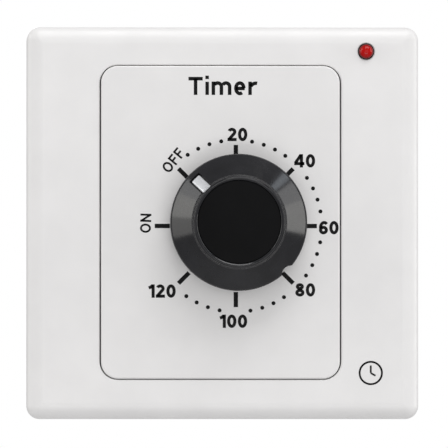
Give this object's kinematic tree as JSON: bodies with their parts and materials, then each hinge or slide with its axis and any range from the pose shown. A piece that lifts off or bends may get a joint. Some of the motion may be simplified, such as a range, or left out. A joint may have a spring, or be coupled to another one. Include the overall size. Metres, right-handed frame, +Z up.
{
  "type": "wall timer switch",
  "caption": "Square white wall panel with a black dial knob and a red lamp; a spring-wound countdown switch in a rear case.",
  "frame": {"origin": "centre of the mounting plane, where the base's rear rim meets the wall", "axes": "+Y into the wall, +Z up, +X to the right as seen from the room"},
  "size_m": [0.086, 0.0498, 0.086],
  "materials": {
    "white_urea": "moulded white urea, satin",
    "base_urea": "moulded white urea, satin",
    "black_phenolic": "polished black phenolic",
    "black_disc": "satin black disc",
    "print_ink": "pad-printed black ink",
    "silver_insert": "bright pointer strip",
    "red_lens": "red lamp dome",
    "grey_case": "dark grey moulded case",
    "board_laminate": "paper laminate board",
    "ceramic": "beige resistor coat",
    "red_sleeve": "red wire sleeve",
    "blue_sleeve": "blue wire sleeve",
    "brass": "stamped and turned brass",
    "steel": "turned steel",
    "spring_steel": "blued spring steel",
    "zinc": "zinc-plated steel",
    "silver": "silver contact face",
    "brown_phenolic": "brown phenolic moulding",
    "acetal": "white acetal"
  },
  "bodies": {
    "base": {"mounting_base": "base_urea", "rear_case": "grey_case", "case_screw_1": "zinc", "case_screw_2": "zinc", "case_screw_3": "zinc", "case_screw_4": "zinc", "indicator_lamp": "red_lens", "indicator_board": "board_laminate", "indicator_resistor": "ceramic", "board_screw": "zinc", "lamp_wire_live": "red_sleeve", "lamp_wire_neutral": "blue_sleeve", "front_plate": "zinc", "rear_plate": "zinc", "pillar_1": "steel", "pillar_2": "steel", "pillar_3": "steel", "pillar_4": "steel", "works_screw_1": "zinc", "works_screw_2": "zinc", "mainspring": "spring_steel", "hairspring": "spring_steel", "switch_block": "brown_phenolic", "fixed_blade": "brass", "fixed_contact": "silver", "common_terminal": "brass", "neutral_terminal": "brass", "terminal_screw_1": "zinc", "terminal_screw_2": "zinc", "terminal_screw_3": "zinc"},
    "cover": {"cover_frame": "white_urea"},
    "dial_shaft": {"knob": "black_phenolic", "knob_cap": "black_disc", "knob_pointer": "silver_insert", "knob_bush": "brass", "knob_grub_screw": "spring_steel", "main_arbor": "steel", "ratchet_wheel": "steel", "switch_cam": "acetal"},
    "great_wheel": {"great_wheel": "brass"},
    "click": {"click": "steel"},
    "second_arbor": {"second_wheel": "brass", "second_pinion": "steel"},
    "third_arbor": {"third_wheel": "brass", "third_pinion": "steel"},
    "escape_arbor": {"escape_wheel": "brass", "escape_pinion": "steel"},
    "pallet": {"pallet_lever": "brass", "pallet_staff": "steel"},
    "balance": {"balance_wheel": "brass", "balance_staff": "steel"},
    "contact_arm": {"moving_blade": "brass", "moving_contact": "silver"}
  },
  "joints": [
    {"name": "cover_slide", "type": "slide", "parent": "base", "child": "cover", "axis": [0, -1, 0], "range_m": [0, 0.025]},
    {"name": "knob_turn", "type": "hinge", "parent": "base", "child": "dial_shaft", "pos_m": [0.0033, 0.008, 0], "axis": [0, 1, 0], "range_deg": [-45, 270]},
    {"name": "train_run", "type": "hinge", "parent": "base", "child": "great_wheel", "pos_m": [0.0033, 0.008, 0], "axis": [0, 1, 0], "continuous": true},
    {"name": "second_spin", "type": "hinge", "parent": "base", "child": "second_arbor", "pos_m": [-0.00688, 0.008, 0.01018], "axis": [0, 1, 0], "continuous": true},
    {"name": "third_spin", "type": "hinge", "parent": "base", "child": "third_arbor", "pos_m": [-0.0112, 0.008, -0.00187], "axis": [0, 1, 0], "continuous": true},
    {"name": "escape_spin", "type": "hinge", "parent": "base", "child": "escape_arbor", "pos_m": [-0.0083, 0.008, -0.01269], "axis": [0, 1, 0], "continuous": true},
    {"name": "balance_swing", "type": "hinge", "parent": "base", "child": "balance", "pos_m": [0.00714, 0.008, -0.0167], "axis": [0, 1, 0], "range_deg": [-20, 20]},
    {"name": "pallet_rock", "type": "hinge", "parent": "base", "child": "pallet", "pos_m": [-0.00256, 0.008, -0.0167], "axis": [0, 1, 0], "range_deg": [-4.3, 4.3]},
    {"name": "click_lift", "type": "hinge", "parent": "great_wheel", "child": "click", "pos_m": [-0.00504, 0.008, 0.00389], "axis": [0, 1, 0], "range_deg": [0, 8], "stiffness_Nm_per_rad": 0.002},
    {"name": "contact_close", "type": "hinge", "parent": "base", "child": "contact_arm", "pos_m": [-0.0132, 0.0215, 0.0066], "axis": [0, -1, 0], "range_deg": [0, 3], "stiffness_Nm_per_rad": 0.02}
  ],
  "couplings": [
    {"joint": "second_spin", "follows": "train_run", "ratio": -8},
    {"joint": "third_spin", "follows": "train_run", "ratio": 56},
    {"joint": "escape_spin", "follows": "train_run", "ratio": -336},
    {"joint": "pallet_rock", "follows": "balance_swing", "ratio": -0.2125}
  ]
}
